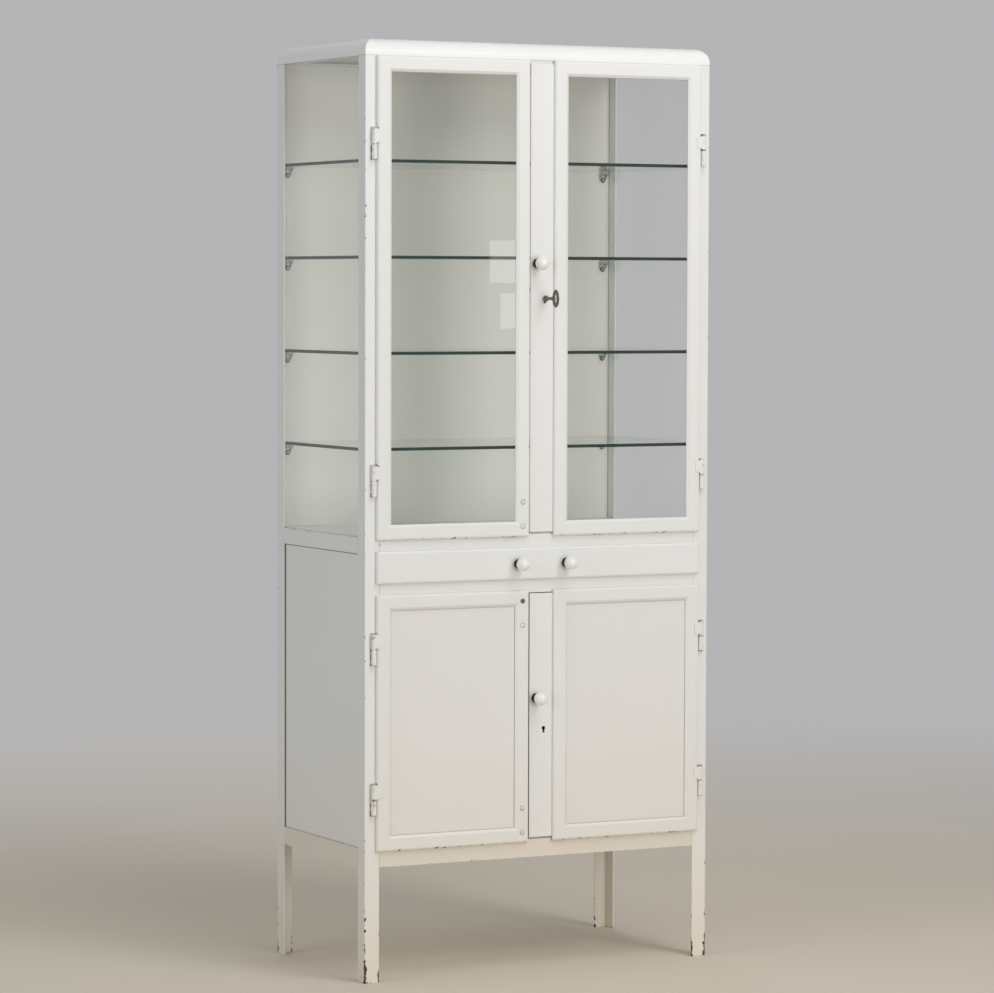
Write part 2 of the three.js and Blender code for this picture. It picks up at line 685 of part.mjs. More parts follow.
// Right doors, each with a lock stile lapped behind its meeting stile that carries knob and lock
function rightDoor(door, withKey) {
  const height = door.top - door.bottom;
  const backY = doorBackY - hingeY;
  const lapX = MEETING_GAP / 2 - hingeX;
  const lap = block(
    [lapX - LOCK_STILE_LAP, backY + DOOR_GAP, -RAIL_OVERLAP],
    [lapX + LOCK_STILE_LAP, backY - LOCK_STILE_WALL - SEAT_GAP, height + RAIL_OVERLAP],
  );
  const group = hangDoor(door, 1, [], [lap]);

  const stileFaceY = backY - LOCK_STILE_WALL;
  const stile = block(
    [lockStileLeft - hingeX, backY, LOCK_STILE_RISE],
    [lockStileRight - hingeX, stileFaceY, height - LOCK_STILE_DROP],
  );
  const knobPlace = [DOOR_KNOB_X - hingeX, stileFaceY, door.knobRise];
  const keyPlace = [KEY_X - hingeX, stileFaceY, door.keyRise];
  const knobHole = facing(rod(KNOB_HOLE_RADIUS, -LOCK_DEPTH, LOCK_DEPTH)).translate(...knobPlace);
  const keyOpening = facing(keyhole()).translate(...keyPlace);
  add(group, `${door.level}_lock_stile`, cut(stile, knobHole, keyOpening), enamel);
  add(group, `${door.level}_door_knob`, knob(LOCK_STILE_WALL).translate(...knobPlace), porcelain);

  const caseY = backY + SEAT_GAP;
  const casePlace = [KEY_X - hingeX, caseY, door.keyRise];
  add(group, `${door.level}_lock_case`, facing(lockCase()).translate(...casePlace), iron);
  const boltY = caseY + LOCK_DEPTH / 2;
  const boltZ = door.keyRise + LOCK_BOLT_RISE;
  add(group, `${door.level}_lock_bolt`, block(
    [lockBoltTip - hingeX, boltY - LOCK_BOLT_WALL / 2, boltZ - LOCK_BOLT_HEIGHT / 2],
    [lockBoltTip + LOCK_BOLT_LENGTH - hingeX, boltY + LOCK_BOLT_WALL / 2, boltZ + LOCK_BOLT_HEIGHT / 2],
  ), steel);
  if (withKey) {
    add(group, 'key', facing(key()).translate(...keyPlace), steel);
  }
}
rightDoor(upperDoor, true);
rightDoor(lowerDoor, false);

// Drawer: a folded front with two knobs, a tray behind it and a pair of runners on the frame
const drawer = new THREE.Group();
cabinet.add(drawer);
const drawerBottom = LOWER_RAIL_TOP - RAIL_OVERLAP;
const drawerHeight = UPPER_RAIL_TOP - ANGLE_LEG + RAIL_OVERLAP - drawerBottom;
drawer.position.set(0, doorBackY, drawerBottom);
function folded(radius, wall) {
  const round = arc(radius, 0, Math.PI / 2, DOOR_ROUND_STEPS);
  return [[wall, 0], ...round.map(([across, up]) => [
    wall + radius - across,
    DOOR_THICKNESS - wall - radius + up,
  ])];
}
const frontInside = folded(DOOR_EDGE_ROUND - SHEET, SHEET).reverse();
const frontOutside = folded(DOOR_EDGE_ROUND, 0);
const frontProfile = [...frontInside, ...frontOutside];
const drawerFront = facing(rectangleLoft(2 * doorHalf, drawerHeight, frontProfile, false));
drawerFront.translate(0, 0, drawerHeight / 2);
const drawerKnobs = [[-1, 'left'], [1, 'right']].map(([side, sideName]) => ({
  name: `drawer_${sideName}_knob`,
  place: [side * DRAWER_KNOB_X, -DOOR_THICKNESS, drawerHeight / 2],
}));
const drawerHoles = drawerKnobs.map(({ place }) => (
  facing(rod(KNOB_HOLE_RADIUS, -DOOR_THICKNESS, DOOR_THICKNESS)).translate(...place)
));
add(drawer, 'drawer_front', cut(drawerFront, ...drawerHoles), enamel);
for (const { name, place } of drawerKnobs) {
  add(drawer, name, knob(SHEET).translate(...place), porcelain);
}

const trayHalf = sideX - ANGLE_LEG - TRAY_SIDE_GAP;
const trayFloor = LOWER_RAIL_TOP + SEAT_GAP - drawerBottom;
const trayTop = UPPER_RAIL_TOP - ANGLE_LEG - TRAY_TOP_GAP - drawerBottom;
const tray = block([-trayHalf, SEAT_GAP, trayFloor], [trayHalf, TRAY_DEPTH, trayTop]);
const trayInside = block(
  [-trayHalf + SHEET, SEAT_GAP + SHEET, trayFloor + SHEET],
  [trayHalf - SHEET, TRAY_DEPTH - SHEET, trayTop + SHEET],
);
add(drawer, 'drawer_tray', cut(tray, trayInside), panelEnamel);

const runnerX = panelX - SHEET - SEAT_GAP;
const runnerFrontY = frontY + betweenUpright;
for (const [side, sideName] of [[-1, 'left'], [1, 'right']]) {
  const underside = LOWER_RAIL_TOP - ANGLE_WALL;
  const section = angle(side * runnerX, underside, -side, 1, RUNNER_LEG, RUNNER_UPSTAND);
  add(cabinet, `${sideName}_drawer_runner`, bar(section, 'y', runnerFrontY, panelRearY), enamel);
}

// The origin moves to the floor under the middle of the whole footprint
const footprint = new THREE.Box3().setFromObject(cabinet).getCenter(new THREE.Vector3());
cabinet.position.set(-footprint.x, -footprint.y, 0);

export default cabinet;
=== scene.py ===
import math

import bmesh
import bpy
from mathutils import Matrix, Vector


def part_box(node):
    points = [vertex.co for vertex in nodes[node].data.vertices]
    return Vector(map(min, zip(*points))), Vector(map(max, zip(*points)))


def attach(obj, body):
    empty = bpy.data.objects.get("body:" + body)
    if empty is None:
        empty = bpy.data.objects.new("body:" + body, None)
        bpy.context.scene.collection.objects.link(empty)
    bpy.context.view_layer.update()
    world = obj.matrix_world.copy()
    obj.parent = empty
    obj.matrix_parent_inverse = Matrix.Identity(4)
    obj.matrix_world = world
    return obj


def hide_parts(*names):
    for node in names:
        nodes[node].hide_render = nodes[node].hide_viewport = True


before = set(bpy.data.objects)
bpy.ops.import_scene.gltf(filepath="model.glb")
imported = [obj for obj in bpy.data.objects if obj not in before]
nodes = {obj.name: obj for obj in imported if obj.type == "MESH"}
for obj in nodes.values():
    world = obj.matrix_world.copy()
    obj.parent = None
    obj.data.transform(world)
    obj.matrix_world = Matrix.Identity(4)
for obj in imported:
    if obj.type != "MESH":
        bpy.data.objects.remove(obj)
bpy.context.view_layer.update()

# Camera: a long lens at chest height, standing off to the left of the front, so that two sides
# show and the uprights stay almost parallel.
scene = bpy.context.scene
scene.view_settings.view_transform = "Standard"
picture_width = 994
focal_length = 4032.5
lens = bpy.data.cameras.new("eye")
lens.sensor_width = 36
lens.lens = 36 * focal_length / picture_width
lens.clip_end = 100
eye = bpy.data.objects.new("eye", lens)
scene.collection.objects.link(eye)
eye_place = (-3.5493, -6.8889, 1.2938)
yaw = math.radians(27.2294)
pitch = math.radians(2.9766)
roll = math.radians(0.1583)
forward = Vector((math.sin(yaw) * math.cos(pitch), math.cos(yaw) * math.cos(pitch), -math.sin(pitch)))
level = Vector((math.cos(yaw), -math.sin(yaw), 0))
steep = level.cross(forward)
across = level * math.cos(roll) + steep * math.sin(roll)
upward = steep * math.cos(roll) - level * math.sin(roll)
turn = Matrix((across, upward, -forward)).transposed().to_4x4()
eye.matrix_world = Matrix.Translation(eye_place) @ turn
scene.camera = eye


# Floor: a pale matt sheet under the legs that fades into the backdrop. A wire here is one socket
# of a material, and sums on wires add Math nodes.
class Wire:
    def __init__(self, tree, socket=None):
        self.tree = tree
        self.socket = socket

    def node(self, kind, settings, sockets, output=0):
        made = self.tree.nodes.new(kind)
        for name, value in settings.items():
            setattr(made, name, value)
        for name, value in sockets.items():
            if isinstance(value, Wire):
                self.tree.links.new(value.socket, made.inputs[name])
            else:
                made.inputs[name].default_value = value
        return Wire(self.tree, made.outputs[output])

    def outlet(self, name):
        return Wire(self.tree, self.socket.node.outputs[name])

    def feed(self, shader, name):
        self.tree.links.new(self.socket, shader.inputs[name])

    def blend(self, share, first, second):
        return self.node("ShaderNodeMix", {"data_type": "RGBA"}, {0: share, 6: first, 7: second}, 2)

    def sum(self, operation, first, second=0.0, clamp=False):
        settings = {"operation": operation, "use_clamp": clamp}
        return self.node("ShaderNodeMath", settings, {0: first, 1: second})

    def limited(self):
        return self.sum("ADD", self, 0.0, True)

    def most(self, other):
        return self.sum("MAXIMUM", self, other)

    def least(self, other):
        return self.sum("MINIMUM", self, other)

    def size(self):
        return self.sum("ABSOLUTE", self)

    def __add__(self, other):
        return self.sum("ADD", self, other)

    def __radd__(self, other):
        return self.sum("ADD", other, self)

    def __sub__(self, other):
        return self.sum("SUBTRACT", self, other)

    def __rsub__(self, other):
        return self.sum("SUBTRACT", other, self)

    def __mul__(self, other):
        return self.sum("MULTIPLY", self, other)

    def __rmul__(self, other):
        return self.sum("MULTIPLY", other, self)

    def __truediv__(self, other):
        return self.sum("DIVIDE", self, other)

    def __rtruediv__(self, other):
        return self.sum("DIVIDE", other, self)

    def __pow__(self, other):
        return self.sum("POWER", self, other)

    def __rpow__(self, other):
        return self.sum("POWER", other, self)


def finish_named(name):
    material = bpy.data.materials.new(name)
    material.use_nodes = True
    shader = material.node_tree.nodes["Principled BSDF"]
    wire = Wire(material.node_tree)
    place = wire.node("ShaderNodeTexCoord", {}, {}, "Object")
    return material, shader, wire, place


def grain(wire, place, scale, detail=2.0, stretch=None):
    if stretch:
        place = wire.node("ShaderNodeMapping", {}, {"Vector": place, "Scale": stretch})
    return wire.node("ShaderNodeTexNoise", {}, {"Vector": place, "Scale": scale, "Detail": detail})


def show_through(wire, shader, share, clear):
    solid = Wire(wire.tree, shader.outputs[0])
    mixed = wire.node("ShaderNodeMixShader", {}, {0: share, 1: solid, 2: clear})
    output = next(n for n in wire.tree.nodes if n.type == "OUTPUT_MATERIAL")
    mixed.feed(output, "Surface")


floor_reach = 14
fade_start = 1.3
fade_length = 3.2
floor_mesh = bpy.data.meshes.new("floor")
floor_build = bmesh.new()
bmesh.ops.create_grid(floor_build, x_segments=8, y_segments=8, size=floor_reach)
floor_build.to_mesh(floor_mesh)
floor_build.free()
floor = bpy.data.objects.new("floor", floor_mesh)
scene.collection.objects.link(floor)
pale, shader, wire, place = finish_named("pale_floor")
shader.inputs["Roughness"].default_value = 0.9
mottle = grain(wire, place, 1.3, 4.0)
wire.blend(mottle, (0.72, 0.64, 0.53, 1), (0.76, 0.68, 0.57, 1)).feed(shader, "Base Color")
reach = wire.node("ShaderNodeVectorMath", {"operation": "LENGTH"}, {0: place}, "Value")
fade = ((reach - fade_start) / fade_length).limited()
show_through(wire, shader, fade, wire.node("ShaderNodeBsdfTransparent", {}, {}))
floor_mesh.materials.append(pale)

# Light: an even pale room, a soft lamp high at the front right, and broad soft ones in front, on the
# left, overhead and behind. Two small panes of light at the right are there for the glass to mirror.
world = bpy.data.worlds.new("room")
scene.world = world
world.use_nodes = True
air = Wire(world.node_tree)
ray = air.node("ShaderNodeLightPath", {}, {}, "Is Camera Ray")
seen = ray.most(ray.outlet("Is Glossy Ray")).most(ray.outlet("Is Transmission Ray"))
glow = air.node("ShaderNodeBackground", {}, {"Color": (0.95, 0.98, 1.0, 1), "Strength": 0.31})
backdrop = air.node("ShaderNodeBackground", {}, {"Color": (0.46, 0.46, 0.47, 1), "Strength": 1.0})
room = air.node("ShaderNodeMixShader", {}, {0: seen, 1: glow, 2: backdrop})
room.feed(next(n for n in world.node_tree.nodes if n.type == "OUTPUT_WORLD"), "Surface")


def soft_lamp(name, place, target, size, watts, colour, mirrored=False):
    lamp = bpy.data.lights.new(name, "AREA")
    lamp.shape = "RECTANGLE"
    lamp.size = size[0]
    lamp.size_y = size[1]
    lamp.energy = watts
    lamp.color = colour
    stand = bpy.data.objects.new(name, lamp)
    scene.collection.objects.link(stand)
    stand.location = place
    stand.visible_camera = False
    stand.visible_transmission = False
    stand.visible_glossy = mirrored
    stand.rotation_mode = "QUATERNION"
    stand.rotation_quaternion = (Vector(target) - Vector(place)).to_track_quat("-Z", "Y")


neutral = (1.0, 1.0, 1.0)
soft_lamp("key", (0.86, -2.81, 2.6), (0, 0, 1.1), (1.0, 1.0), 19, (1.0, 0.99, 0.98), True)
soft_lamp("front", (0.5, -5.4, 1.0), (0, 0, 1.1), (2.2, 1.8), 80, (1.0, 0.985, 0.97))
soft_lamp("fill", (-4.2, -1.2, 1.6), (0, 0, 1.0), (2.4, 2.4), 42, (0.88, 0.95, 1.0))
soft_lamp("overhead", (0.3, -1.8, 4.2), (0, 0, 1.7), (2.0, 2.0), 37, neutral)
soft_lamp("behind", (1.2, 5.0, 2.4), (0, 0, 0.9), (3.0, 2.4), 42, neutral)
soft_lamp("upper_pane", (1.33, -2.86, 1.36), (-0.05, -0.17, 1.35), (0.12, 0.12), 0.12, neutral, True)
soft_lamp("lower_pane", (1.36, -2.86, 1.23), (-0.05, -0.17, 1.25), (0.115, 0.085), 0.085, neutral, True)


# Uprights: four lengths of angle iron, brushed with thick white enamel. The paint has chipped to
# rusty iron along the edges, most of all on the lower legs and at the feet.
def tinted(colour, shares):
    return tuple(part * share for part, share in zip(colour, shares)) + (1,)


def enamel(name, colour, wear, crease_shade_strength=0.5, roughness=0.3, alone=True, gap_shadow=None):
    edge_reach = 0.006
    crease_reach = 0.006
    chip_start = 0.79
    chip_crispness = 30.0
    foot_tint_height = 0.6
    foot_tint_share = 0.75
    material, shader, wire, place = finish_named(name)
    split = wire.node("ShaderNodeSeparateXYZ", {}, {"Vector": place})
    spot = [split.outlet(axis) for axis in range(3)]
    cloud = grain(wire, place, 2.6, 3.0)
    strokes = grain(wire, place, 420.0, 2.0, (1, 1, 0.05))
    pimples = grain(wire, place, 900.0, 1.0)
    cluster = grain(wire, place, 16.0, 2.0)
    rusting = grain(wire, place, 60.0, 3.0)
    flake = wire.node("ShaderNodeTexNoise", {}, {
        "Vector": place, "Scale": 95.0, "Detail": 5.0, "Roughness": 0.62, "Distortion": 0.5,
    })
    normal = wire.node("ShaderNodeNewGeometry", {}, {}, "Normal")
    eased = wire.node("ShaderNodeBevel", {"samples": 6}, {"Radius": edge_reach})
    facing = wire.node("ShaderNodeVectorMath", {"operation": "DOT_PRODUCT"}, {0: normal, 1: eased}, "Value")
    edge = ((1 - facing) * 6.0).limited() ** 0.5
    worn = wear(*spot, edge)
    chip = ((flake + worn * (0.45 + cluster * 1.1) - chip_start) * chip_crispness).limited()
    # Painted shade: ambient occlusion darkens creases, corners and gaps by other parts in a dirt-brown
    # colour, and the gap masks add painted shadow lines.
    open_air = wire.node("ShaderNodeAmbientOcclusion", {"samples": 6, "only_local": alone},
                         {"Distance": crease_reach}, "AO")
    painted_crease_shade = ((0.55 - open_air) * 2.4).limited() * crease_shade_strength
    if gap_shadow:
        painted_crease_shade = painted_crease_shade.most(gap_shadow(*spot))
    aged = wire.blend(cloud, colour, tinted(colour, (0.965, 0.955, 0.93)))
    # Dirt and painted shade: the paint turns darker and warmer towards the feet, for dirt there and for the
    # shade and warm floor light low down.
    foot_dirt_and_shade = (1 - spot[2] / foot_tint_height).limited() ** 2 * foot_tint_share
    aged = wire.blend(foot_dirt_and_shade, aged, tinted(colour, (0.95, 0.85, 0.70)))
    crease_shaded = wire.blend(painted_crease_shade, aged, (0.16, 0.135, 0.10, 1))
    iron = wire.blend(rusting, (0.022, 0.018, 0.016, 1), (0.13, 0.062, 0.032, 1))
    wire.blend(chip, crease_shaded, iron).feed(shader, "Base Color")
    (roughness + cloud * 0.12 + chip * 0.35).feed(shader, "Roughness")
    height = strokes * 0.5 + pimples * 0.25 - chip * 1.4
    bump = wire.node("ShaderNodeBump", {}, {"Height": height, "Strength": 0.35, "Distance": 0.0004})
    bump.feed(shader, "Normal")
    return material


def paint(material, *names):
    for name in names:
        surface = nodes[name].data.materials
        surface.clear()
        surface.append(material)


def soften(width, *names):
    for name in names:
        seam = nodes[name].modifiers.new("weld", "WELD")
        seam.merge_threshold = 0.00001
        ease = nodes[name].modifiers.new("ease", "BEVEL")
        ease.width = width
        ease.segments = 3
        ease.limit_method = "ANGLE"
        ease.angle_limit = math.radians(40)
        ease.harden_normals = True
        ease.loop_slide = False


near_corner, far_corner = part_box("front_left_upright")
half_width = -near_corner.x
flange = far_corner.x - near_corner.x
front_plane = near_corner.y
rear_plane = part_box("rear_left_upright")[1].y
corner_band = 0.008
rim_band = 0.005
leg_height = 0.27
sole_height = 0.05


def leg_wear(x, y, z, edge):
    inset = half_width - x.size()
    depth = (y - front_plane).size().least((y - rear_plane).size())
    corner = (1 - (inset + depth) / corner_band).limited()
    rim = (1 - (inset - flange).size() / rim_band).limited()
    foot = (1 - z / leg_height).limited()
    sole = (1 - z / sole_height).limited()
    return corner * (0.17 + foot * 0.16) + rim * (0.06 + foot * 0.20) + sole * 0.16 + edge * sole * 0.1


white = (0.815, 0.81, 0.795, 1)
uprights = ("front_left_upright", "front_right_upright", "rear_left_upright", "rear_right_upright")
paint(enamel("leg_enamel", white, leg_wear), *uprights)
soften(0.0008, *uprights)


# Rails: angle iron between the uprights, welded and painted with them. The bottom frame carries the
# cupboard floor, the front rails frame the drawer, and the ring at the top carries the lid.
def edge_wear(amount):
    return lambda x, y, z, edge: edge * amount


frame_paint = enamel("frame_enamel", white, edge_wear(0.17))
# The base frame's darker, warmer white is painted shade under the doors and painted warm floor light.
base_shaded_paint = enamel("base_shaded_enamel", (0.77, 0.725, 0.66, 1), edge_wear(0.17))
paint(base_shaded_paint, "base_frame")
paint(frame_paint, "front_upper_rail", "front_lower_rail", "left_middle_rail")
paint(frame_paint, "right_middle_rail", "top_frame", "left_drawer_runner", "right_drawer_runner")

# Lid: a cap of sheet steel over the top frame, with rolled edges and mitred corners. It has the
# smoothest paint on the cabinet, and its white is painted a shade lighter than the rest, standing in
# for the brighter light that falls on it from above.
lid_lit_paint = enamel("lid_lit_enamel", (0.86, 0.857, 0.845, 1), edge_wear(0.05), crease_shade_strength=0.3, roughness=0.26)
paint(lid_lit_paint, "top_cover")

# Panels: thin steel sheets for the back, the lower sides, the two floors and the drawer tray, in a
# creamier white inside. Where the side sheets meet the rail and the rear leg, a dark line of painted
# shadow stands for the shade in the gap behind them.
cream = (0.80, 0.79, 0.74, 1)
sheet_paint = enamel("sheet_enamel", cream, edge_wear(0.05), crease_shade_strength=0.45, roughness=0.36)
paint(sheet_paint, "back_panel", "cupboard_floor", "display_floor", "drawer_tray")
rail_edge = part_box("left_middle_rail")[0].z
post_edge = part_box("rear_left_upright")[0].y
rail_shadow_offset = 0.0026
post_shadow_offset = 0.0045


# Painted shadow: dark lines along the side sheets' top and rear edges, where the rail and leg shade them.
def side_gap_shadow(x, y, z):
    top_shadow = ((z - rail_edge + rail_shadow_offset) / 0.0008).limited()
    rear_shadow = ((y - post_edge + post_shadow_offset) / 0.0012).limited()
    return top_shadow.most(rear_shadow) * 0.93


side_paint = enamel("side_enamel", white, edge_wear(0.17), crease_shade_strength=1.0, roughness=0.34, alone=False,
                    gap_shadow=side_gap_shadow)
paint(side_paint, "left_lower_panel", "right_lower_panel")


# Panes: drawn sheet glass, slightly wavy, set in the frame at both sides. Light from lamps passes
# straight through it to the shelves.
def sheet_glass(name, tint, shade, waviness, thin_axis, edge_colour, edge_metal=0.0):
    material, shader, wire, place = finish_named(name)
    shader.inputs["Transmission Weight"].default_value = 1.0
    shader.inputs["IOR"].default_value = 1.5
    flat = wire.node("ShaderNodeTexCoord", {}, {}, "Normal")
    broad = wire.node("ShaderNodeSeparateXYZ", {}, {"Vector": flat}, thin_axis).size()
    cut_edge = ((0.5 - broad) * 8.0).limited()
    wire.blend(cut_edge, tint, edge_colour).feed(shader, "Base Color")
    (cut_edge * edge_metal).feed(shader, "Metallic")
    (cut_edge * 0.5).feed(shader, "Roughness")
    wave = grain(wire, place, 5.0, 1.0)
    bump = wire.node("ShaderNodeBump", {}, {"Height": wave, "Strength": waviness, "Distance": 0.004})
    bump.feed(shader, "Normal")
    ray = wire.node("ShaderNodeLightPath", {}, {}, "Is Shadow Ray")
    lamp_light = ray.most(ray.outlet("Is Diffuse Ray"))
    show_through(wire, shader, lamp_light, wire.node("ShaderNodeBsdfTransparent", {}, {"Color": shade}))
    return material


clear_tint = (0.988, 0.992, 0.988, 1)
pane_edge = (0.3, 0.55, 0.45, 1)
side_glass = sheet_glass("side_pane", clear_tint, clear_tint, 0.1, 0, pane_edge)
paint(side_glass, "left_side_glass", "right_side_glass")

# Shelves: four plates of thick glass that lie on brackets at their corners. Their ground edges look
# dark green along the cut.
shelf_tint = (0.975, 0.99, 0.982, 1)
shelf_shade = (0.965, 0.98, 0.97, 1)
ground_edge = (0.014, 0.050, 0.036, 1)
shelf_glass = sheet_glass("shelf_plate", shelf_tint, shelf_shade, 0.02, 2, ground_edge, 1.0)
shelves = ["glass_shelf_%d" % i for i in range(1, 5)]
paint(shelf_glass, *shelves)


# Shelf supports: small angle brackets at the corners of each shelf. A painted plate is screwed to
# the frame or the back panel, and a bare steel lug with two gussets carries the glass.
def steel(name, colour, dark, roughness):
    material, shader, wire, place = finish_named(name)
    shader.inputs["Metallic"].default_value = 1.0
    scratch = grain(wire, place, 700.0, 3.0, (1, 1, 0.08))
    stain = grain(wire, place, 45.0, 4.0)
    wire.blend(stain, dark, colour).feed(shader, "Base Color")
    (roughness + stain * 0.18 + scratch * 0.1).feed(shader, "Roughness")
    bump = wire.node("ShaderNodeBump", {}, {"Height": scratch, "Strength": 0.2, "Distance": 0.0002})
    bump.feed(shader, "Normal")
    return material


def piece(name, build, materials, body):
    mesh = bpy.data.meshes.new(name)
    bmesh.ops.recalc_face_normals(build, faces=build.faces)
    build.to_mesh(mesh)
    build.free()
    for material in materials:
        mesh.materials.append(material)
    made = bpy.data.objects.new(name, mesh)
    scene.collection.objects.link(made)
    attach(made, body)
    return made


def turned(build, profile, place, axis, steps=32, finish=0, smooth=True):
    along = Vector(axis).normalized()
    side = along.orthogonal().normalized()
    other = along.cross(side)
    rings = []
    for radius, rise in profile:
        centre = Vector(place) + along * rise
        if radius < 1e-7:
            rings.append([build.verts.new(centre)])
            continue
        ring = []
        for i in range(steps):
            spin = 2 * math.pi * i / steps
            ring.append(build.verts.new(centre + (side * math.cos(spin) + other * math.sin(spin)) * radius))
        rings.append(ring)
    for low, high in zip(rings, rings[1:]):
        for i in range(steps):
            j = (i + 1) % steps
            corners = [low[i % len(low)], low[j % len(low)], high[j % len(high)], high[i % len(high)]]
            face = build.faces.new(list(dict.fromkeys(corners)))
            face.material_index = finish
            face.smooth = smooth


def plate(build, outline, thickness, finish=0):
    low = [build.verts.new(Vector(p)) for p in outline]
    high = [build.verts.new(Vector(p) + Vector(thickness)) for p in outline]
    made = [build.faces.new(low), build.faces.new(high[::-1])]
    for i in range(len(low)):
        j = (i + 1) % len(low)
        made.append(build.faces.new([low[i], low[j], high[j], high[i]]))
    for face in made:
        face.material_index = finish


bare_steel = steel("bracket_steel", (0.80, 0.80, 0.77, 1), (0.60, 0.60, 0.57, 1), 0.55)
screw_iron = steel("screw_iron", (0.11, 0.10, 0.09, 1), (0.04, 0.036, 0.032, 1), 0.5)
washer = [(0.0048, 0.0), (0.0050, 0.0004), (0.0050, 0.0010), (0.0046, 0.0013), (0.0034, 0.0013)]
screw_head = [(0.0034, 0.0013), (0.0033, 0.0020), (0.0026, 0.0029), (0.0014, 0.0034), (0, 0.0035)]
plate_wall = 0.0014
plate_drop = 0.024
plate_clip = 0.004
lug_thickness = 0.006
lug_inset = 0.0005
lug_lip = 0.003
lug_heel = 0.010
gusset_wall = 0.0014
gusset_reach = 0.007
gusset_drop = 0.009
screw_drop = 0.0095
glass_gap = 0.0003
for corner in ("front_left", "front_right", "rear_left", "rear_right"):
    low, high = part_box(corner + "_shelf_strip")
    inward = 1 if corner.startswith("front") else -1
    wall = low.y if inward > 0 else high.y
    tip = high.y if inward > 0 else low.y
    face = wall + inward * plate_wall
    left = low.x + lug_inset
    right = high.x - lug_inset
    build = bmesh.new()
    for shelf in shelves:
        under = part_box(shelf)[0].z - glass_gap
        root = under - lug_thickness
        foot = under - plate_drop
        plate(build, [
            (low.x, wall, under), (high.x, wall, under), (high.x, wall, foot + plate_clip),
            (high.x - plate_clip, wall, foot), (low.x + plate_clip, wall, foot),
            (low.x, wall, foot + plate_clip),
        ], (0, inward * plate_wall, 0), 0)
        plate(build, [
            (left, face, under), (left, tip, under), (left, tip, under - lug_lip),
            (left, face + inward * lug_heel, root), (left, face, root),
        ], (right - left, 0, 0), 1)
        for side in (left, right - gusset_wall):
            plate(build, [
                (side, face, root), (side, face + inward * gusset_reach, root),
                (side, face, root - gusset_drop),
            ], (gusset_wall, 0, 0), 1)
        screw_place = ((low.x + high.x) / 2, face, root - screw_drop)
        turned(build, washer, screw_place, (0, inward, 0), 24, 2)
        turned(build, screw_head, screw_place, (0, inward, 0), 24, 1)
    bracket = piece(corner + "_shelf_brackets", build, [sheet_paint, bare_steel, screw_iron], "carcass")
    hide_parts(corner + "_shelf_strip")


# Door frames: flat steel bars with a bevelled inner edge and rounded outer edge, enamelled. Chips
# show along the bottom edges and round the hinges, which are painted with the doors.
def door_wear(low_edge, hinge_levels):
    bottom_band = 0.009
    hinge_rise = 0.02
    hinge_band = 0.045
    hinge_side = 0.335
    hinge_fade = 0.01

    def near_hinge(z, split):
        return (1 - (z - split - hinge_rise).size() / hinge_band).limited()

    def wear(x, y, z, edge):
        bottom = (1 - (z - low_edge) / bottom_band).limited()
        hinges = near_hinge(z, hinge_levels[0]).most(near_hinge(z, hinge_levels[1]))
        outer = ((x.size() - hinge_side) / hinge_fade).limited()
        return bottom * 0.21 + hinges * outer * edge * 0.34 + edge * 0.08
    return wear


# The lower doors' white is a little warmer than the upper doors': partly the paint, partly painted warm
# light from the floor.
lower_white_with_floor_light = (0.808, 0.794, 0.770, 1)
upper_door_foot = 0.824
upper_hinges = (0.935, 1.557)
lower_door_foot = 0.245
lower_hinges = (0.343, 0.623)
upper_paint = enamel("upper_door_enamel", white, door_wear(upper_door_foot, upper_hinges))
lower_paint = enamel("lower_door_enamel", lower_white_with_floor_light, door_wear(lower_door_foot, lower_hinges))
paint(upper_paint, "upper_left_door_frame", "upper_right_door_frame")
paint(lower_paint, "lower_left_door_frame", "lower_right_door_frame")
hinge_paint = enamel("hinge_enamel", white, edge_wear(0.34), crease_shade_strength=0.2)
for row in ("upper", "lower"):
    for side in ("left", "right"):
        for end in ("bottom", "top"):
            paint(hinge_paint, "%s_%s_%s_hinge_pin" % (row, side, end))

# Door fillings: glass panes in the upper doors, enamelled steel sheets in the lower ones. Each sits
# in the rebate of its frame, and a dark line of painted shade runs round the front of the sheets,
# where the frame's edge shades them.
door_glass = sheet_glass("door_pane", clear_tint, clear_tint, 0.1, 1, pane_edge)
paint(door_glass, "upper_left_door_glass", "upper_right_door_glass")
rebate = 0.0077
shadow_line_width = 0.0022
face_depth = 0.0008
panel_low, panel_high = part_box("lower_right_door_panel")


# Painted shade: a dark line just inside the frame's opening on the sheet's front face.
def panel_edge_shadow(x, y, z):
    sideways = (x.size() - (panel_low.x + rebate)).least((panel_high.x - rebate) - x.size())
    upright = (z - (panel_low.z + rebate)).least((panel_high.z - rebate) - z)
    front = (1 - (y - panel_low.y) / face_depth).limited()
    return (1 - sideways.least(upright) / shadow_line_width).limited() * front * 0.5


# The panels' creamier white is partly the paint and partly painted warm light from the floor.
panel_white_with_floor_light = (0.788, 0.770, 0.745, 1)
panel_paint = enamel("door_panel_enamel", panel_white_with_floor_light, edge_wear(0.05), crease_shade_strength=0.9, roughness=0.33,
                     alone=False, gap_shadow=panel_edge_shadow)
paint(panel_paint, "lower_left_door_panel", "lower_right_door_panel")

# Lock stiles: narrow strips of enamelled sheet that close the gap between each pair of doors. Each
# is lapped behind the right door's meeting edge, and carries its knob and lock.
# Painted shade: the strips darken along their edges, where the doors beside them shade them.
stile_paint = enamel("stile_enamel", white, edge_wear(0.14), crease_shade_strength=0.75, alone=False)
paint(stile_paint, "upper_lock_stile", "lower_lock_stile")

# Drawer front: one folded steel sheet between the two front rails, enamelled with the doors. It is
# fixed to the tray behind it.
paint(enamel("drawer_enamel", white, edge_wear(0.12)), "drawer_front")


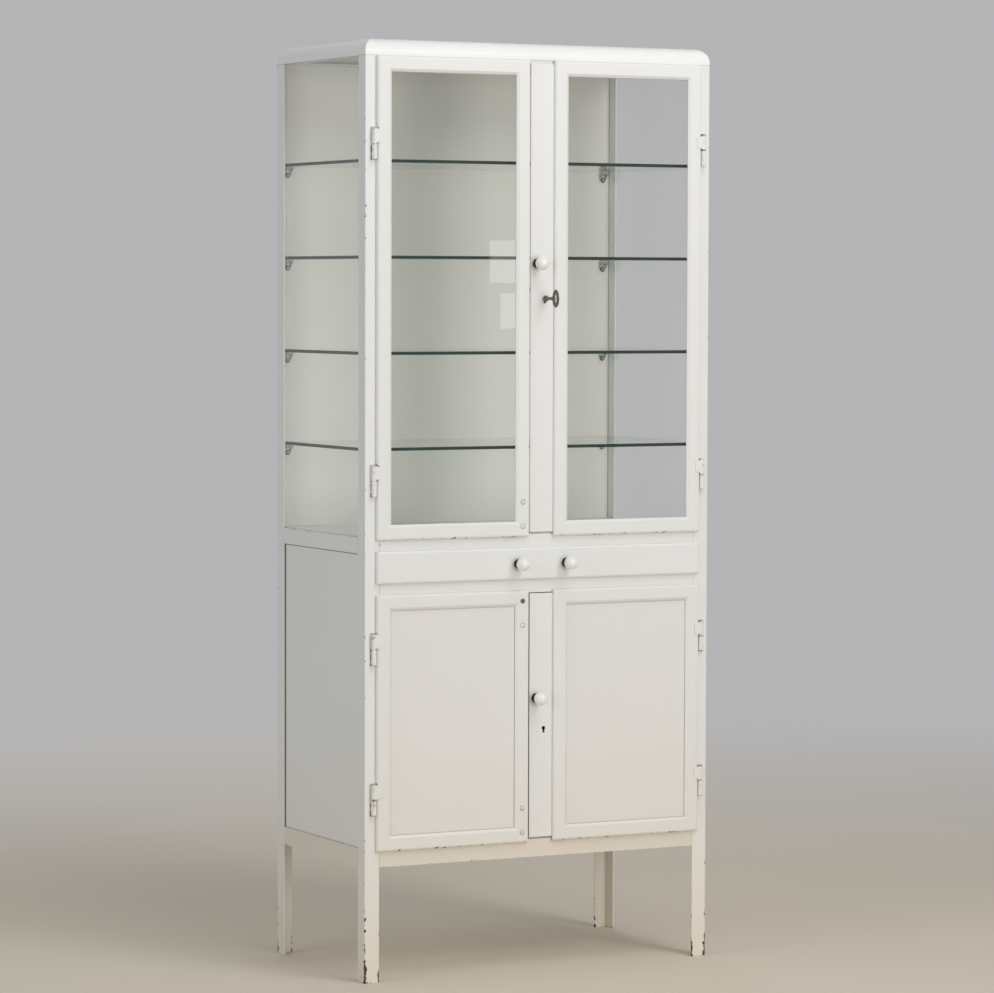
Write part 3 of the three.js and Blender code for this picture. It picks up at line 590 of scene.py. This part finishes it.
# Knobs: white porcelain balls on dark iron collars, turned on one axis. A screw goes through the
# sheet, with a nut behind it.
def porcelain_glaze():
    material, shader, wire, place = finish_named("porcelain")
    shader.inputs["Coat Weight"].default_value = 0.6
    shader.inputs["Coat Roughness"].default_value = 0.05
    tone = grain(wire, place, 90.0, 3.0)
    craze = grain(wire, place, 340.0, 4.0)
    wire.blend(tone, (0.89, 0.885, 0.86, 1), (0.83, 0.82, 0.77, 1)).feed(shader, "Base Color")
    (0.12 + craze * 0.16).feed(shader, "Roughness")
    return material


glaze = porcelain_glaze()
collar_iron = steel("collar_iron", (0.12, 0.10, 0.085, 1), (0.045, 0.036, 0.03, 1), 0.5)
collar = [
    (0.002, 0.0003), (0.0082, 0.0003), (0.0088, 0.0008), (0.0088, 0.0032), (0.0080, 0.0040),
    (0.0062, 0.0046), (0.0058, 0.0062), (0.0060, 0.0092), (0.0068, 0.0104), (0.0050, 0.0110),
]
ball_rise = 0.022
ball_steps = 24
neck = 0.006
outward = (0, -1, 0)
for knob, body in (("upper_door_knob", "upper_right_door"), ("lower_door_knob", "lower_right_door"),
                   ("drawer_left_knob", "drawer"), ("drawer_right_knob", "drawer")):
    low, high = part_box(knob)
    radius = (high.x - low.x) / 2
    face = low.y + radius + ball_rise
    middle = ((low.x + high.x) / 2, face, (low.z + high.z) / 2)
    nut = face - high.y
    nut_top = nut + 0.004
    build = bmesh.new()
    turned(build, [(0, nut), (0.0045, nut), (0.0045, nut_top), (0.002, nut_top), (0.002, 0.0003)],
           middle, outward, 6, 1, False)
    turned(build, collar, middle, outward, 40, 1)
    start = math.asin(neck / radius) - math.pi / 2
    ball = []
    for i in range(ball_steps):
        rise = start + (math.pi / 2 - start) * i / ball_steps
        ball.append((radius * math.cos(rise), ball_rise + radius * math.sin(rise)))
    ball.append((0, ball_rise + radius))
    turned(build, ball, middle, outward, 48, 0)
    made = piece(knob + "_turned", build, [glaze, collar_iron], body)
    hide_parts(knob)

# Locks and bolts: black iron cases riveted behind the lock stiles, with bright steel bolts in them.
# Slide bolts of the same steel sit inside the left doors.
lock_black = steel("lock_iron", (0.14, 0.13, 0.12, 1), (0.05, 0.047, 0.045, 1), 0.5)
paint(lock_black, "upper_lock_case", "lower_lock_case")
bright = steel("bright_steel", (0.52, 0.51, 0.48, 1), (0.25, 0.24, 0.22, 1), 0.28)
paint(bright, "upper_lock_bolt", "lower_lock_bolt", "upper_left_bottom_bolt")
paint(bright, "lower_left_bottom_bolt", "lower_left_top_bolt")
lock_dome = [(0.0026, -0.0002), (0.0025, 0.0003), (0.0019, 0.0008), (0.0010, 0.0011), (0, 0.0012)]
case_margin = 0.005
for row in ("upper", "lower"):
    low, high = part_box(row + "_lock_case")
    build = bmesh.new()
    for sideways in (low.x + case_margin, high.x - case_margin):
        for rise in (low.z + case_margin, high.z - case_margin):
            turned(build, lock_dome, (sideways, high.y, rise), (0, 1, 0), 20)
    heads = piece(row + "_lock_rivets", build, [bright], row + "_right_door")

# Key: cast steel with a round shank, a shoulder by the lock and a thick oval bow with a beaded rim.
# The hidden bit stays inside the lock.
low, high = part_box("key")
stem = Vector(((low.x + high.x) / 2, 0, (low.z + high.z) / 2))
stile_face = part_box("upper_lock_stile")[0].y
bow_rim = 0.0036
rim_bead = 0.0003
bead_count = 8
bow_half_wall = 0.0024
bow_wide = (high.z - low.z) / 2 - bow_rim - rim_bead
bow_long = 0.0082
bow_middle = low.y + bow_rim + rim_bead + bow_long
bow_steps = 56
rim_steps = 12
length = high.y - bow_middle - bow_long
shoulder_gap = 0.002
shoulder = high.y - stile_face + shoulder_gap
shank = [
    (0, 0), (0.0026, 0.0), (0.0030, 0.0004), (0.0030, shoulder), (0.0050, shoulder),
    (0.0058, shoulder + 0.0008), (0.0058, shoulder + 0.0026), (0.0044, shoulder + 0.0036),
    (0.0036, shoulder + 0.0042), (0.0030, shoulder + 0.0052), (0.0030, length - 0.006),
    (0.0040, length - 0.004), (0.0040, length), (0.0030, length + 0.002), (0, length + 0.003),
]
build = bmesh.new()
turned(build, shank, (stem.x, high.y, stem.z), outward, 32)
loops = []
for i in range(bow_steps):
    spin = 2 * math.pi * i / bow_steps
    out = Vector((0, math.cos(spin), math.sin(spin)))
    centre = Vector((stem.x, bow_middle + bow_long * out.y, stem.z + bow_wide * out.z))
    thick = bow_rim + rim_bead * math.cos(bead_count * spin)
    loop = []
    for j in range(rim_steps):
        around = 2 * math.pi * j / rim_steps
        offset = out * (math.cos(around) * thick) + Vector((math.sin(around) * bow_half_wall, 0, 0))
        loop.append(build.verts.new(centre + offset))
    loops.append(loop)
for i in range(bow_steps):
    near, far = loops[i], loops[(i + 1) % bow_steps]
    for j in range(rim_steps):
        k = (j + 1) % rim_steps
        build.faces.new([near[j], far[j], far[k], near[k]]).smooth = True
bit_half_wall = 0.0012
bit_side = stem.x - bit_half_wall
bit_top = stem.z - 0.002
bit_foot = stem.z - 0.008
bit_rear = high.y - 0.0005
bit_front = high.y - 0.0035
plate(build, [
    (bit_side, bit_rear, bit_top), (bit_side, bit_rear, bit_foot),
    (bit_side, bit_front, bit_foot), (bit_side, bit_front, bit_top),
], (2 * bit_half_wall, 0, 0))
key_steel = steel("key_steel", (0.34, 0.32, 0.29, 1), (0.12, 0.11, 0.10, 1), 0.32)
made = piece("key_cast", build, [key_steel], "upper_key")
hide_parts("key")

# Rivets: low domes through the left doors' meeting stiles that hold the slide bolts inside, each in
# a thin dark ring. The paint is off one of them.
worn_rivet = steel("worn_rivet", (0.36, 0.31, 0.26, 1), (0.16, 0.13, 0.105, 1), 0.5)
rivet_dirt = enamel("rivet_dirt", (0.42, 0.39, 0.34, 1), edge_wear(0.1))
rivet_dome = [(0.0043, -0.0004), (0.0041, 0.0002), (0.0033, 0.0008), (0.0018, 0.0011), (0, 0.0012)]
rivet_ring = [(0.0043, -0.0003), (0.0052, -0.0003), (0.0052, 0.0001), (0.0043, 0.0001)]
rivet_column = -0.0405
hinge_stand = 0.0015
rivet_spots = [
    ("upper_left_door", 0.844, hinge_paint), ("upper_left_door", 0.890, hinge_paint),
    ("lower_left_door", 0.265, hinge_paint), ("lower_left_door", 0.311, hinge_paint),
    ("lower_left_door", 0.657, hinge_paint), ("lower_left_door", 0.703, worn_rivet),
]
for number, (body, rise, finish) in enumerate(rivet_spots, 1):
    build = bmesh.new()
    place = (rivet_column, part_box(body + "_frame")[0].y + hinge_stand, rise)
    turned(build, rivet_dome, place, outward, 24)
    turned(build, rivet_ring, place, outward, 24, 1)
    rivet = piece("rivet_%d" % number, build, [finish, rivet_dirt], body)
